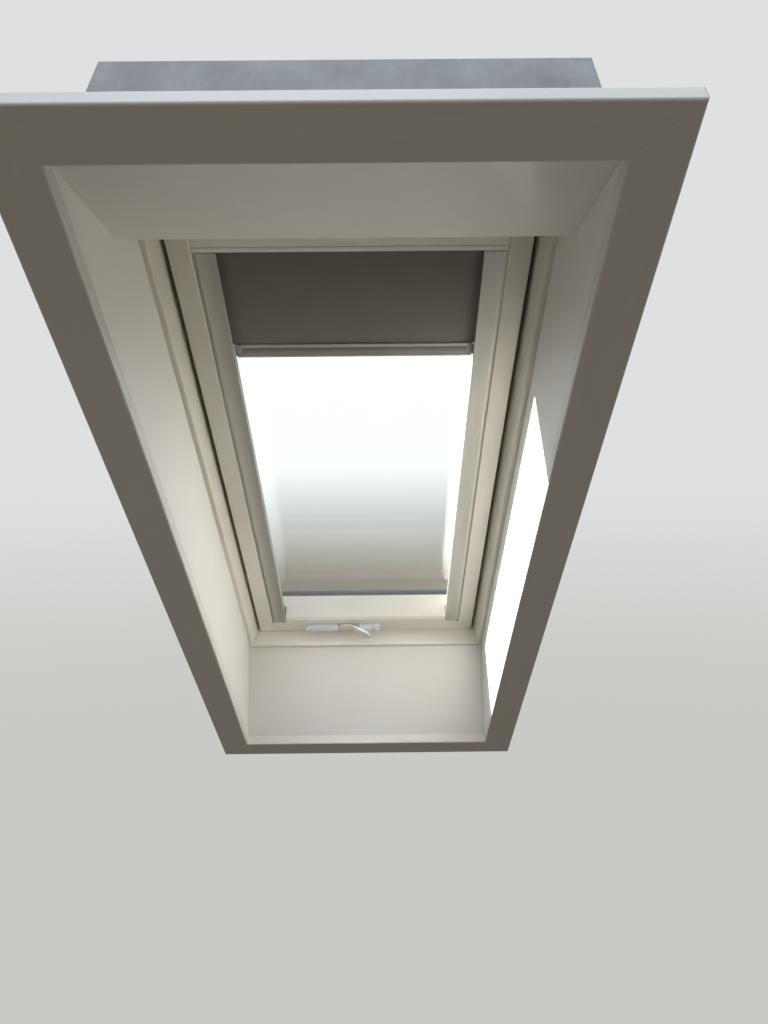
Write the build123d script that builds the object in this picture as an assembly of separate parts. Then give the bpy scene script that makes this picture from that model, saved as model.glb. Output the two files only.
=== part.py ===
from build123d import *
from math import cos, radians, sin, tan
import os

# Roof window for a pitched roof, 55 x 118 cm, with its lining boards and mitred trim.
# Everything is modelled in the roof's own axes, in millimetres: X across, Y down the slope,
# Z out through the roof. The origin is the middle of the lining opening, on the frame's room face.
# The last step tilts each piece back by the roof pitch, so that +Z is up in the finished part.

# Frame
roof_pitch = 37.0
frame_width = 550.0
frame_length = 1178.0
frame_wall = 28.0
frame_depth = 92.0
frame_face_band = 7.5
frame_side_slant = 7.3
frame_end_slant = 3.3
frame_slant_depth = 38.0
frame_edge_radius = 1.5
lining_groove_depth = 12.0
flange_rebate_depth = 32.0
gasket_height = 10.0
gasket_rebate = 5.0
gasket_side_gap = 1.2
gasket_end_gap = 2.1
flange_rebate_wall = 4.0

# Lining boards and trim
board_thickness = 18.0
board_play = 0.3
ceiling_depth = 168.0
bottom_board_lean = 0.4375
top_board_slope = 1.459
top_board_end_drop = 66.0
top_board_end_depth = 70.0
trim_width = 54.0
trim_thickness = 19.0
trim_top_reveal = 8.0
trim_edge_radius = 3.0

# Sash
sash_in_frame = 60.0
sash_wall_depth = 54.0
sash_side_gap = 20.5
sash_top_gap = 21.0
sash_bottom_gap = 13.0
sash_flange_play = 4.0
stile_width = 29.5
bottom_rail_width = 54.0
top_rail_width = 70.0
sash_edge_radius = 2.0
bead_setback = 3.0
bead_width = 17.0
bead_height = 2.5
bead_radius = 1.2

# Glazing
glass_proud = 5.0
glazing_gasket_height = 3.0
pane_thickness = 4.0
spacer_thickness = 16.0
spacer_width = 12.0
side_glass_cover = 14.0
top_glass_cover = 14.0
bottom_glass_cover = 25.0
glass_edge_play = 2.0

# Outside covers
sheet = 1.5
cover_glass_lap = 12.0
bottom_cover_lap = 2.0
top_cover_lap = 10.0
cover_top_setback = 10.0
cover_side_setback = 13.0
cover_frame_gap = 3.0
cover_play = 0.3
cover_bend_radius = 3.0
frame_cover_leg = 70.0
frame_cover_setback = 2.0
cover_bottom_reach = 7.0
hood_headroom = 17.3
hood_front_lip = 7.0
hood_front_offset = 1.0
hood_edge = 4.0

# Hinges
hinge_side_distance = 77.0
hinge_knuckle_radius = 7.0
hinge_pin_radius = 3.0
running_play = 0.05
hinge_frame_knuckle = 24.0
hinge_sash_knuckle = 17.0
hinge_knuckle_gap = 0.5
hinge_plate = 3.0
hinge_web = 4.0
hinge_leaf_setback = 4.0
hinge_sash_leaf = 60.0

# Roller blind
rail_width = 29.5
rail_setback = 1.0
rail_depth = 29.0
rail_lip = 1.5
rail_hollow_depth = 1.6
rail_flange_width = 4.6
rail_flange_drop = 2.6
rail_front_wall = 2.6
rail_back_flange = 1.6
rail_back_setback = 2.4
rail_end_overlap = 20.0
fabric_setback = 15.0
channel_back_reach = 7.0
channel_width = 9.5
fabric_thickness = 0.5
fabric_offset = 0.6
fabric_edge_reach = 7.0
casing_height = 67.2
casing_setback = 2.0
casing_glass_gap = 5.0
casing_wall = 2.2
casing_cap = 4.0
casing_slot_front_gap = 10.0
casing_slot_back_gap = 12.0
casing_edge_radius = 3.0
casing_lip_height = 7.8
casing_groove_width = 1.6
casing_groove_depth = 1.5
bar_height = 22.7
bar_front_reach = 2.4
bar_back_reach = 7.0
bar_rest_drop = 158.2
bar_end_play = 1.2
bar_upper_lip = 5.2
bar_lower_lip = 3.4
bar_recess_depth = 3.2
bar_recess_foot = 0.6
bar_cap_length = 8.0
bar_cap_radius = 1.0
bar_shoe_inset = 2.0
bar_neck_setback = 1.0
roller_tube_radius = 10.0
roller_tube_wall = 1.2
roller_plug = 12.0
roller_end_play = 3.0
roller_pin_radius = 3.0
roller_pin_length = 6.0
roll_radius = 12.6

# Handle and latch
handle_offset = -47.5
handle_bead_gap = 0.5
handle_plate_length = 157.0
handle_plate_width = 14.0
handle_plate_height = 14.0
handle_plate_bevel = 3.3
plate_screw_head_radius = 3.4
plate_screw_head_height = 1.5
plate_screw_length = 30.0
plate_step = 10.0
plate_step_reach = 36.0
lever_width = 19.0
lever_thickness = 4.0
lever_hub_radius = 7.0
lever_hub_height = 1.0
lever_play = 0.4
lever_straight = 10.0
lever_bend_radius = 30.0
lever_slope = 29.0
lever_reach = 48.5
spindle_radius = 3.5
tongue_length = 45.0
tongue_width = 12.0
tongue_thickness = 8.0
tongue_setback = 6.0
tongue_play = 1.0
keeper_thickness = 2.0
keeper_edge = 3.5
keeper_end = 10.0

# Fixing brackets and screws
bracket_thickness = 3.0
bracket_length = 60.0
bracket_leg = 34.0
bracket_foot = 62.0
bracket_top_setback = 12.0
bracket_end_distance = 130.0
bracket_corner_radius = 8.0
bracket_hole_radius = 3.25
bracket_hole_edge = 16.0
bracket_screw_spacing = 36.0
bracket_screw_edge = 12.0
screw_radius = 2.0
screw_head_radius = 4.5
screw_head_height = 2.2
screw_length = 20.0

# How far a cutting block reaches past the piece that it cuts
cut_margin = 1.0

# Sizes that follow from the ones above
opening_half_width = frame_width / 2 - frame_wall
opening_half_length = frame_length / 2 - frame_wall
sash_half_width = opening_half_width - sash_side_gap
sash_top = -(opening_half_length - sash_top_gap)
sash_bottom = opening_half_length - sash_bottom_gap
daylight_half_width = sash_half_width - stile_width
daylight_top = sash_top + top_rail_width
daylight_bottom = sash_bottom - bottom_rail_width
gasket_top_depth = frame_depth - flange_rebate_depth
gasket_ledge_depth = gasket_top_depth - gasket_height
sash_face_depth = frame_depth - sash_in_frame
sash_flange_depth = gasket_top_depth + board_play
glass_seat_depth = sash_face_depth + sash_wall_depth
glass_inner_face = glass_seat_depth + glazing_gasket_height
spacer_inner_face = glass_inner_face + pane_thickness
outer_pane_face = spacer_inner_face + spacer_thickness
glass_outer_face = outer_pane_face + pane_thickness
sash_outer_depth = glass_outer_face - glass_proud
cover_face = glass_outer_face + cover_play
frame_cover_face = frame_depth + cover_play
frame_cover_edge = frame_width / 2 + cover_play + sheet
trim_face = ceiling_depth + trim_thickness
hinge_axis_y = -opening_half_length
hinge_axis_depth = sash_outer_depth + hinge_plate - hinge_knuckle_radius
top_board_inner_y = -(opening_half_length - top_board_end_drop)
top_board_outer_y = top_board_inner_y - top_board_slope * (ceiling_depth - top_board_end_depth)
bottom_board_outer_y = opening_half_length + bottom_board_lean * ceiling_depth
rail_inner_face = daylight_half_width - rail_width
rail_front_depth = sash_face_depth + rail_setback
rail_back_depth = rail_front_depth + rail_depth
fabric_depth = sash_face_depth + fabric_setback
casing_bottom = daylight_top + casing_height
casing_half_width = daylight_half_width - board_play
casing_front_depth = sash_face_depth + casing_setback
casing_back_depth = glass_inner_face - casing_glass_gap
rail_end = daylight_bottom + rail_end_overlap
fabric_half_width = rail_inner_face + fabric_edge_reach
channel_front_depth = rail_front_depth + rail_front_wall
channel_back_depth = fabric_depth + channel_back_reach
bead_bottom = daylight_bottom + bead_setback + bead_width
handle_y = bead_bottom + handle_bead_gap + handle_plate_width / 2
plate_face_depth = sash_face_depth - handle_plate_height
lever_back_depth = plate_face_depth + plate_step - lever_play
bar_top = casing_bottom + bar_rest_drop
bar_bottom = bar_top + bar_height
bar_front_depth = fabric_depth - bar_front_reach
bar_back_depth = fabric_depth + bar_back_reach
roller_depth = fabric_depth + roll_radius
roller_y = daylight_top + casing_height / 2
tongue_depth = gasket_top_depth + tongue_setback
bracket_face = frame_cover_edge + cover_play
bracket_foot_depth = frame_depth - bracket_top_setback - bracket_leg


def slab(x0, x1, y0, y1, z0, z1):
    """Box between two corners."""
    middle = Pos((x0 + x1) / 2, (y0 + y1) / 2, (z0 + z1) / 2)
    return middle * Box(x1 - x0, y1 - y0, z1 - z0)


def outline(*points):
    """Flat shape with straight sides between its points."""
    return Polygon(*points, align=None)


def across(section, x0, x1):
    """Section in Y and Z, carried along X."""
    return extrude(Plane.YZ.offset(x0) * section, amount=x1 - x0, dir=(1, 0, 0))


def down_slope(section, y0, y1):
    """Section in X and Z, carried along Y."""
    return extrude(Plane.XZ.offset(-y1) * section, amount=y1 - y0, dir=(0, -1, 0))


def grown(rect, side, top, bottom):
    """Rectangle (half width, top, bottom) moved out by the given amounts."""
    return rect[0] + side, rect[1] - top, rect[2] + bottom


def shrunk(rect, amount):
    """Rectangle moved in by one amount on every side."""
    return grown(rect, -amount, -amount, -amount)


def block(rect, z0, z1):
    """Box over a rectangle."""
    return slab(-rect[0], rect[0], rect[1], rect[2], z0, z1)


def flat_rect(rect, z):
    """Face of a rectangle at one depth."""
    middle = Pos(0, (rect[1] + rect[2]) / 2, z)
    return (middle * Rectangle(2 * rect[0], rect[2] - rect[1])).face()


def rod_x(radius, x0, x1, y, z):
    """Cylinder along X."""
    return Pos((x0 + x1) / 2, y, z) * Rot(0, 90, 0) * Cylinder(radius, x1 - x0)


def rod_z(radius, z0, z1, x, y):
    """Cylinder along Z."""
    return Pos(x, y, (z0 + z1) / 2) * Cylinder(radius, z1 - z0)


def mirrored(solid):
    """The same piece on the other side of the window."""
    return mirror(solid, about=Plane.YZ)


def mitred(ring, rect, inward, outward, z0, z1):
    """Cut a rectangular ring into four pieces with 45 degree corners."""
    half, top, bottom = rect
    near = (half - inward, top + inward, bottom - inward)
    far = (half + outward, top - outward, bottom + outward)
    right = [(near[0], near[1]), (far[0], far[1]), (far[0], far[2]), (near[0], near[2])]
    upper = [(-far[0], far[1]), (far[0], far[1]), (near[0], near[1]), (-near[0], near[1])]
    lower = [(-near[0], near[2]), (near[0], near[2]), (far[0], far[2]), (-far[0], far[2])]
    left = [(-x, y) for x, y in right]
    wedges = {"left": left, "right": right, "top": upper, "bottom": lower}
    base = Plane.XY.offset(z0)
    return {
        name: ring & extrude(base * outline(*points), amount=z1 - z0, dir=(0, 0, 1))
        for name, points in wedges.items()
    }


def edges_at(solid, z, rect, tolerance=0.01):
    """Edges of a ring that run round a rectangle at one depth."""
    def on_rect(edge):
        middle = edge @ 0.5
        on_side = abs(abs(middle.X) - rect[0]) < tolerance
        on_end = min(abs(middle.Y - rect[1]), abs(middle.Y - rect[2])) < tolerance
        return abs(middle.Z - z) < tolerance and (on_side or on_end)
    return solid.edges().filter_by(on_rect)


def room_side_edges(solid):
    """The two edges along X that lie nearest the room."""
    return solid.edges().filter_by(Axis.X).group_by(Axis.Z)[0]


opening = (opening_half_width, -opening_half_length, opening_half_length)
sash_edge = (sash_half_width, sash_top, sash_bottom)
daylight = (daylight_half_width, daylight_top, daylight_bottom)
glass_edge = grown(daylight, side_glass_cover, top_glass_cover, bottom_glass_cover)
flange_edge = shrunk(opening, flange_rebate_wall + sash_flange_play)
frame_mouth = shrunk(opening, frame_face_band)
frame_throat = grown(frame_mouth, -frame_side_slant, -frame_end_slant, -frame_end_slant)
gasket_edge = shrunk(frame_throat, -gasket_rebate)


def frame_pieces():
    """Two jambs, head and sill: lining groove, slanted inner wall, gasket ledge, flange rebate."""
    ring = block(grown(opening, frame_wall, frame_wall, frame_wall), 0, frame_depth)
    ring -= loft([flat_rect(frame_mouth, 0), flat_rect(frame_throat, frame_slant_depth)])
    ring -= block(frame_throat, frame_slant_depth, gasket_ledge_depth)
    ring -= block(gasket_edge, gasket_ledge_depth, gasket_top_depth)
    ring -= block(shrunk(opening, flange_rebate_wall), gasket_top_depth, frame_depth)
    groove_ring = block(shrunk(opening, -board_thickness - board_play), 0, lining_groove_depth)
    groove_ring -= block(opening, 0, lining_groove_depth)
    ring -= groove_ring
    ring = fillet(edges_at(ring, 0, frame_mouth), frame_edge_radius)
    ring -= latch_pocket()
    ring -= bracket_screws(running_play)
    inward = frame_face_band + frame_side_slant + cut_margin
    return mitred(ring, opening, inward, frame_wall + cut_margin, 0, frame_depth)


def frame_gasket():
    """Black seal on the frame's ledge, which fills the gap beside the sash."""
    inner = grown(sash_edge, gasket_side_gap, gasket_side_gap, gasket_end_gap)
    top = sash_flange_depth - board_play
    return block(gasket_edge, gasket_ledge_depth, top) - block(inner, gasket_ledge_depth, top)


def bottom_board_points():
    """Section of the bottom lining board: it stands nearly upright in the room."""
    half = opening_half_length
    back = board_thickness * (1 + bottom_board_lean * bottom_board_lean) ** 0.5
    tongue = lining_groove_depth - board_play
    return [
        (half, tongue), (half, 0), (bottom_board_outer_y, -ceiling_depth),
        (bottom_board_outer_y + back, -ceiling_depth), (half + back, 0),
        (half + board_thickness, 0), (half + board_thickness, tongue),
    ]


def top_board_points():
    """Section of the level top lining board, which ends in front of the frame's head."""
    inner_y = top_board_inner_y
    outer_y = top_board_outer_y
    stretch = (1 + top_board_slope * top_board_slope) ** 0.5
    up_y = -board_thickness / stretch
    up_z = board_thickness * top_board_slope / stretch
    outer_back = outer_y - board_thickness * stretch
    return [
        (inner_y, -top_board_end_depth), (outer_y, -ceiling_depth), (outer_back, -ceiling_depth),
        (inner_y + up_y, up_z - top_board_end_depth),
    ]


def head_closer_points():
    """Section of the board from the top lining's inner end up into the head's groove."""
    outer_back, foot = top_board_points()[2:]
    half = opening_half_length
    tongue = lining_groove_depth - board_play
    slope = (outer_back[1] - foot[1]) / (outer_back[0] - foot[0])
    heel_y = foot[0] - board_thickness
    heel = (heel_y, foot[1] + slope * (heel_y - foot[0]))
    return [
        (-half, tongue), (-half, 0), foot, heel,
        (-(half + board_thickness), 0), (-(half + board_thickness), tongue),
    ]


def side_board():
    """Right lining board, cut to the outside of the top and bottom boards."""
    bottom = bottom_board_points()
    top = top_board_points()
    tongue = lining_groove_depth - board_play
    reach = opening_half_length + board_thickness
    section = outline(
        (reach, tongue), (reach, 0), bottom[4], bottom[3], top[2], (-reach, 0), (-reach, tongue),
    )
    return across(section, opening_half_width, opening_half_width + board_thickness)


def trim_pieces():
    """Four mitred trim boards round the lining, with eased front edges."""
    rect = (opening_half_width, top_board_outer_y - trim_top_reveal, bottom_board_outer_y)
    outer = grown(rect, trim_width, trim_width, trim_width)
    ring = block(outer, -trim_face, -ceiling_depth) - block(rect, -trim_face, -ceiling_depth)
    front = edges_at(ring, -trim_face, rect) + edges_at(ring, -trim_face, outer)
    ring = fillet(front, trim_edge_radius)
    return mitred(ring, rect, cut_margin, trim_width + cut_margin, -trim_face, -ceiling_depth)


def sash_pieces():
    """Stiles and rails with the closing flange, glass rebate, bead, rail seats and latch mortise."""
    ring = block(sash_edge, sash_face_depth, sash_flange_depth)
    ring += block(flange_edge, sash_flange_depth, sash_outer_depth)
    ring -= block(daylight, sash_face_depth, glass_seat_depth)
    ring -= block(shrunk(glass_edge, -glass_edge_play), glass_seat_depth, sash_outer_depth)
    rim = edges_at(ring, sash_face_depth, sash_edge) + edges_at(ring, sash_face_depth, daylight)
    ring = fillet(rim, sash_edge_radius)
    bead_half = rail_inner_face - board_play
    bead_face = sash_face_depth - bead_height
    bead_back = sash_face_depth + 2 * sash_edge_radius
    bead_top = daylight_bottom + bead_setback
    bead = slab(-bead_half, bead_half, bead_top, bead_bottom, bead_face, bead_back)
    ring += fillet(room_side_edges(bead), bead_radius)
    inner = rail_inner_face
    seat = slab(inner, daylight_half_width, daylight_bottom, rail_end, sash_face_depth, rail_back_depth)
    ring -= [seat, mirrored(seat)]
    ring -= latch_pocket()
    ring -= rod_z(spindle_radius + running_play, 0, tongue_depth, handle_offset, handle_y)
    for x in plate_screw_places():
        ring -= rod_z(screw_radius + running_play, 0, plate_face_depth + plate_screw_length, x, handle_y)
    reach = frame_length
    half = daylight_half_width
    full = sash_outer_depth
    return {
        "sash_left_stile": ring & slab(-reach, -half, -reach, reach, 0, full),
        "sash_right_stile": ring & slab(half, reach, -reach, reach, 0, full),
        "sash_top_rail": ring & slab(-half, half, -reach, 0, 0, full),
        "sash_bottom_rail": ring & slab(-half, half, 0, reach, 0, full),
    }


def glazing_pieces():
    """Double glazing: two panes, spacer frame and the gasket that it sits on."""
    spacer_rect = shrunk(glass_edge, board_play)
    spacer = block(spacer_rect, spacer_inner_face, outer_pane_face)
    spacer -= block(shrunk(spacer_rect, spacer_width), spacer_inner_face, outer_pane_face)
    gasket = block(glass_edge, glass_seat_depth, glass_inner_face)
    gasket -= block(daylight, glass_seat_depth, glass_inner_face)
    return {
        "glass_inner_pane": block(glass_edge, glass_inner_face, spacer_inner_face),
        "glass_outer_pane": block(glass_edge, outer_pane_face, glass_outer_face),
        "glass_spacer": spacer,
        "glazing_gasket": gasket,
    }


def sash_covers():
    """Folded sheet covers on the outside of the sash, with a lip on the glass."""
    lip = (glass_edge[0] - cover_glass_lap, glass_edge[1] + top_cover_lap, glass_edge[2] - bottom_cover_lap)
    side = frame_width / 2 - cover_side_setback
    outer = (side, hinge_axis_y + cover_top_setback, opening_half_length + cover_bottom_reach)
    high = cover_face + sheet
    low = frame_cover_face + sheet + cover_frame_gap
    shell = block(outer, low, high)
    shell = fillet(edges_at(shell, high, outer), cover_bend_radius)
    shell -= block(grown(outer, -sheet, 0, -sheet), low, cover_face)
    shell -= block(lip, low, high)
    reach = frame_width
    return {
        "sash_cover_top": shell & slab(-reach, reach, -frame_length, lip[1], low, high),
        "sash_cover_bottom": shell & slab(-reach, reach, lip[2], frame_length, low, high),
        "sash_cover_left": shell & slab(-reach, 0, lip[1], lip[2], low, high),
        "sash_cover_right": shell & slab(0, reach, lip[1], lip[2], low, high),
    }


def folded_edge(inner, outer):
    """Section of a sheet that lies on the frame and turns down over its outer side."""
    face = frame_cover_face
    low = frame_depth - frame_cover_leg
    return outline(
        (inner, face), (outer, face), (outer, low), (outer + sheet, low),
        (outer + sheet, face + sheet), (inner, face + sheet),
    )


def frame_covers():
    """Folded sheet covers over the outer edge of the frame's jambs and sill."""
    setback = flange_rebate_wall - frame_cover_setback
    jamb = folded_edge(opening_half_width - setback, frame_width / 2 + cover_play)
    sill = folded_edge(opening_half_length - setback, frame_length / 2 + cover_play)
    right = down_slope(jamb, -frame_length / 2, opening_half_length - setback)
    right -= bracket_screws(running_play)
    return {
        "frame_cover_left": mirrored(right),
        "frame_cover_right": right,
        "frame_cover_sill": across(sill, -frame_cover_edge, frame_cover_edge),
    }


def head_hood():
    """Folded hood over the frame's head and the hinges, with closed ends."""
    back = -(frame_length / 2 + cover_play)
    front = hinge_axis_y + hood_front_offset
    base = frame_cover_face + sheet + cover_play
    foot = frame_cover_face - frame_cover_leg
    roof = cover_face + sheet + hood_headroom
    shoulder = roof - hood_edge
    half = frame_cover_edge + cover_play
    shell = across(outline(
        (back - sheet, foot), (back - sheet, shoulder), (back + hood_edge, roof),
        (front - hood_edge, roof), (front, shoulder), (front, base), (back, base), (back, foot),
    ), -half - sheet, half + sheet)
    shell -= across(outline(
        (back, base), (back, shoulder), (back + hood_edge, roof - sheet),
        (front - hood_edge, roof - sheet), (front - sheet, shoulder), (front - sheet, base),
    ), -half, half)
    shell -= slab(-half, half, front - sheet, front, base, roof - hood_front_lip)
    return shell


def hinge_pieces():
    """Right hinge: frame leaf, sash leaf and pin, on the axis along X."""
    middle = opening_half_width - hinge_side_distance
    y = hinge_axis_y
    z = hinge_axis_depth
    inner = hinge_frame_knuckle / 2
    near = inner + hinge_knuckle_gap
    far = near + hinge_sash_knuckle
    bore = hinge_pin_radius + running_play
    leaf_face = frame_depth + hinge_plate
    head_edge = -opening_half_length + flange_rebate_wall
    head_back = -frame_length / 2 + hinge_leaf_setback
    left, right = middle - inner, middle + inner
    frame_leaf = slab(left, right, head_back, head_edge, frame_depth, leaf_face)
    frame_leaf += slab(left, right, y - hinge_web / 2, y + hinge_web / 2, leaf_face, z)
    frame_leaf += rod_x(hinge_knuckle_radius, left, right, y, z)
    frame_leaf -= rod_x(bore, left, right, y, z)
    top = z + hinge_knuckle_radius
    leaf_start = y + cover_top_setback
    sash_leaf = slab(middle - far, middle + far, leaf_start, y + hinge_sash_leaf, sash_outer_depth, top)
    for low, high in ((middle - far, middle - near), (middle + near, middle + far)):
        sash_leaf += slab(low, high, y, leaf_start + cut_margin, top - hinge_plate, top)
        sash_leaf += rod_x(hinge_knuckle_radius, low, high, y, z)
    sash_leaf -= rod_x(bore, middle - far, middle + far, y, z)
    pin = rod_x(hinge_pin_radius, middle - far, middle + far, y, z)
    return frame_leaf, sash_leaf, pin


def side_rail():
    """Right guide rail of the blind: low flange at the stile, hollow face, thin lip and open channel."""
    inner = rail_inner_face
    outer = casing_half_width
    front = rail_front_depth
    hollow_start = inner + rail_lip
    hollow_end = outer - rail_flange_width
    hollow_middle = ((hollow_start + hollow_end) / 2, front + rail_hollow_depth)
    flange_face = front + rail_flange_drop
    channel_end = inner + channel_width
    back_edge = inner + rail_back_setback
    back_face = channel_back_depth + rail_back_flange
    hollow = ThreePointArc((hollow_start, front), hollow_middle, (hollow_end, front))
    walls = Polyline(
        (hollow_end, front), (hollow_end, flange_face), (outer, flange_face), (outer, rail_back_depth),
        (channel_end, rail_back_depth), (channel_end, back_face), (back_edge, back_face),
        (back_edge, channel_back_depth), (channel_end, channel_back_depth),
        (channel_end, channel_front_depth), (inner, channel_front_depth), (inner, front),
        (hollow_start, front),
    )
    section = make_face(hollow + walls)
    return down_slope(section, casing_bottom + board_play, rail_end - board_play)


def casing_body(x0, x1):
    """Outer form of the casing: rounded room side with a groove above its lower lip."""
    top = daylight_top + board_play
    front = casing_front_depth
    lip_top = casing_bottom - casing_lip_height
    body = slab(x0, x1, top, casing_bottom, front, casing_back_depth)
    body = fillet(room_side_edges(body), casing_edge_radius)
    return body - slab(x0, x1, lip_top - casing_groove_width, lip_top, front, front + casing_groove_depth)


def casing_pieces():
    """Blind casing, open below for the fabric, and its right end cap."""
    half = casing_half_width - casing_cap
    wall = casing_wall
    top = daylight_top + board_play + wall
    bottom = casing_bottom - wall
    shell = casing_body(-half, half)
    shell -= slab(-half, half, top, bottom, casing_front_depth + wall, casing_back_depth - wall)
    slot_front = fabric_depth - casing_slot_front_gap
    slot_back = fabric_depth + casing_slot_back_gap
    shell -= slab(-half, half, bottom, casing_bottom, slot_front, slot_back)
    cap = casing_body(half, casing_half_width)
    cap -= rod_x(roller_pin_radius + running_play, half, casing_half_width, roller_y, roller_depth)
    return shell, cap


def roller_pieces():
    """Roller: tube with plugged ends and pins, and the fabric wound on it."""
    half = casing_half_width - casing_cap - roller_end_play
    inner_half = half - roller_plug
    tube = rod_x(roller_tube_radius, -half, half, roller_y, roller_depth)
    tube -= rod_x(roller_tube_radius - roller_tube_wall, -inner_half, inner_half, roller_y, roller_depth)
    pin = rod_x(roller_pin_radius, half, half + roller_pin_length, roller_y, roller_depth)
    tube += [pin, mirrored(pin)]
    roll = rod_x(roll_radius, -fabric_half_width, fabric_half_width, roller_y, roller_depth)
    roll -= rod_x(roller_tube_radius, -fabric_half_width, fabric_half_width, roller_y, roller_depth)
    return tube, roll


def blind_bar_pieces():
    """Bottom bar of the blind with a slanted recess, and its right end piece that runs in the rail."""
    half = rail_inner_face - bar_end_play
    body_half = half - bar_cap_length
    front = bar_front_depth
    back = bar_back_depth
    low = bar_bottom - bar_lower_lip
    high = bar_top + bar_upper_lip
    section = outline(
        (bar_top, front), (high, front), (high, front + bar_recess_depth), (low, front + bar_recess_foot),
        (low, front), (bar_bottom, front), (bar_bottom, back), (bar_top, back),
    )
    bar = across(section, -body_half, body_half)
    cap = slab(body_half, half, bar_top, bar_bottom, front, back)
    cap = fillet(cap.edges().group_by(Axis.X)[-1], bar_cap_radius)
    shoe_top = bar_top + bar_shoe_inset
    shoe_bottom = bar_bottom - bar_shoe_inset
    shoe_start = rail_inner_face + board_play
    shoe_front = channel_front_depth + board_play
    shoe_back = channel_back_depth - board_play
    neck_start = half - bar_shoe_inset
    neck_back = back - bar_neck_setback
    cap += slab(neck_start, shoe_start, shoe_top, shoe_bottom, front + bar_neck_setback, neck_back)
    cap += slab(shoe_start, fabric_half_width, shoe_top, shoe_bottom, shoe_front, shoe_back)
    return bar, cap


def blind_fabric():
    """Fabric sheet from the roller down to the bar."""
    near = fabric_depth - fabric_offset
    return slab(-fabric_half_width, fabric_half_width, roller_y, bar_top, near, near + fabric_thickness)


def plate_screw_places():
    """Where the handle plate's two screws go, along X."""
    reach = handle_plate_length / 2 - handle_plate_width
    return handle_offset - reach, handle_offset + reach


def handle_plate_pieces():
    """Long bevelled handle bar with a step that takes the lever, and its two screws."""
    place = Pos(handle_offset, handle_y, plate_face_depth)
    plate = place * extrude(Rectangle(handle_plate_length, handle_plate_width), amount=handle_plate_height)
    plate = chamfer(plate.edges().group_by(Axis.Z)[0], handle_plate_bevel)
    step_start = handle_offset - lever_width / 2 - lever_play
    step_end = handle_offset + plate_step_reach
    step_floor = plate_face_depth + plate_step
    near, far = handle_y - handle_plate_width, handle_y + handle_plate_width
    plate -= slab(step_start, step_end, near, far, plate_face_depth, step_floor)
    bore = spindle_radius + running_play
    plate -= rod_z(bore, plate_face_depth, sash_face_depth, handle_offset, handle_y)
    head_start = plate_face_depth + running_play
    head_end = head_start + plate_screw_head_height
    shank_end = plate_face_depth + plate_screw_length - cut_margin
    screws = []
    for x in plate_screw_places():
        plate -= rod_z(screw_radius + running_play, plate_face_depth, sash_face_depth, x, handle_y)
        plate -= rod_z(plate_screw_head_radius + running_play, plate_face_depth, head_end, x, handle_y)
        head = rod_z(plate_screw_head_radius, head_start, head_end, x, handle_y)
        screws.append(head + rod_z(screw_radius, head_start, shank_end, x, handle_y))
    return plate, Compound(screws)


def handle_lever():
    """Flat lever that lies in the plate's step and bends away from it to a round end."""
    face = lever_back_depth - lever_hub_height
    x = handle_offset
    bend_start = x + lever_straight
    slope = radians(lever_slope)
    bend_end = bend_start + lever_bend_radius * sin(slope)
    bend_z = face - lever_bend_radius * (1 - cos(slope))
    tip_x = x + lever_reach + lever_width / 2
    tip_z = bend_z - (tip_x - bend_end) * tan(slope)
    half = lever_width / 2
    heel_x = x - half
    thick = lever_thickness
    upper = Line((heel_x, face), (bend_start, face))
    upper += TangentArc((bend_start, face), (bend_end, bend_z), tangent=(1, 0))
    upper += Line((bend_end, bend_z), (tip_x, tip_z))
    lower = Pos(0, -thick) * upper
    start = Line((heel_x, face), (heel_x, face - thick))
    finish = Line((tip_x, tip_z), (tip_x, tip_z - thick))
    section = make_face(upper + lower + start + finish)
    strip = down_slope(section, handle_y - half, handle_y + half)
    place = Pos(x + lever_reach / 2, handle_y, tip_z - thick)
    top_view = place * SlotOverall(lever_reach + lever_width, lever_width)
    strip &= extrude(top_view, amount=lever_back_depth - tip_z + thick, dir=(0, 0, 1))
    return strip + rod_z(lever_hub_radius, face - thick, lever_back_depth, x, handle_y)


def latch_pieces():
    """Spindle through the bottom rail, and the tongue that it turns behind the keeper."""
    x = handle_offset
    half = tongue_width / 2
    back = tongue_depth + tongue_thickness
    spindle = rod_z(spindle_radius, lever_back_depth, tongue_depth, x, handle_y)
    tip = handle_y + tongue_length - half
    tongue = slab(x - half, x + half, handle_y, tip, tongue_depth, back)
    tongue += [rod_z(half, tongue_depth, back, x, tip), rod_z(half, tongue_depth, back, x, handle_y)]
    return spindle, tongue


def latch_pocket():
    """Space in the bottom rail and the sill in which the tongue turns."""
    x = handle_offset
    reach = tongue_length + tongue_play
    low = tongue_depth - tongue_play / 2
    high = tongue_depth + tongue_thickness + tongue_play / 2
    side = tongue_width / 2 + tongue_play
    pocket = slab(x - side, x + side, handle_y, handle_y + reach, low, high)
    pocket += slab(x, x + reach, handle_y - side, handle_y + side, low, high)
    quarter = rod_z(reach, low, high, x, handle_y)
    quarter &= slab(x, x + reach, handle_y, handle_y + reach, low, high)
    return pocket + quarter + rod_z(side, low, high, x, handle_y)


def keeper_plate():
    """Steel plate on the sill, whose edge holds the tongue."""
    wall = opening_half_length - flange_rebate_wall
    low = tongue_depth + tongue_thickness + tongue_play / 2
    high = frame_depth - keeper_edge
    left = handle_offset - tongue_width / 2 - tongue_play - keeper_end
    return slab(left, handle_offset + tongue_length, wall - keeper_thickness, wall, low, high)


def bracket_places():
    """Middle of each bracket along the slope."""
    reach = frame_length / 2 - bracket_end_distance
    return {"upper": -reach, "lower": reach}


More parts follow.
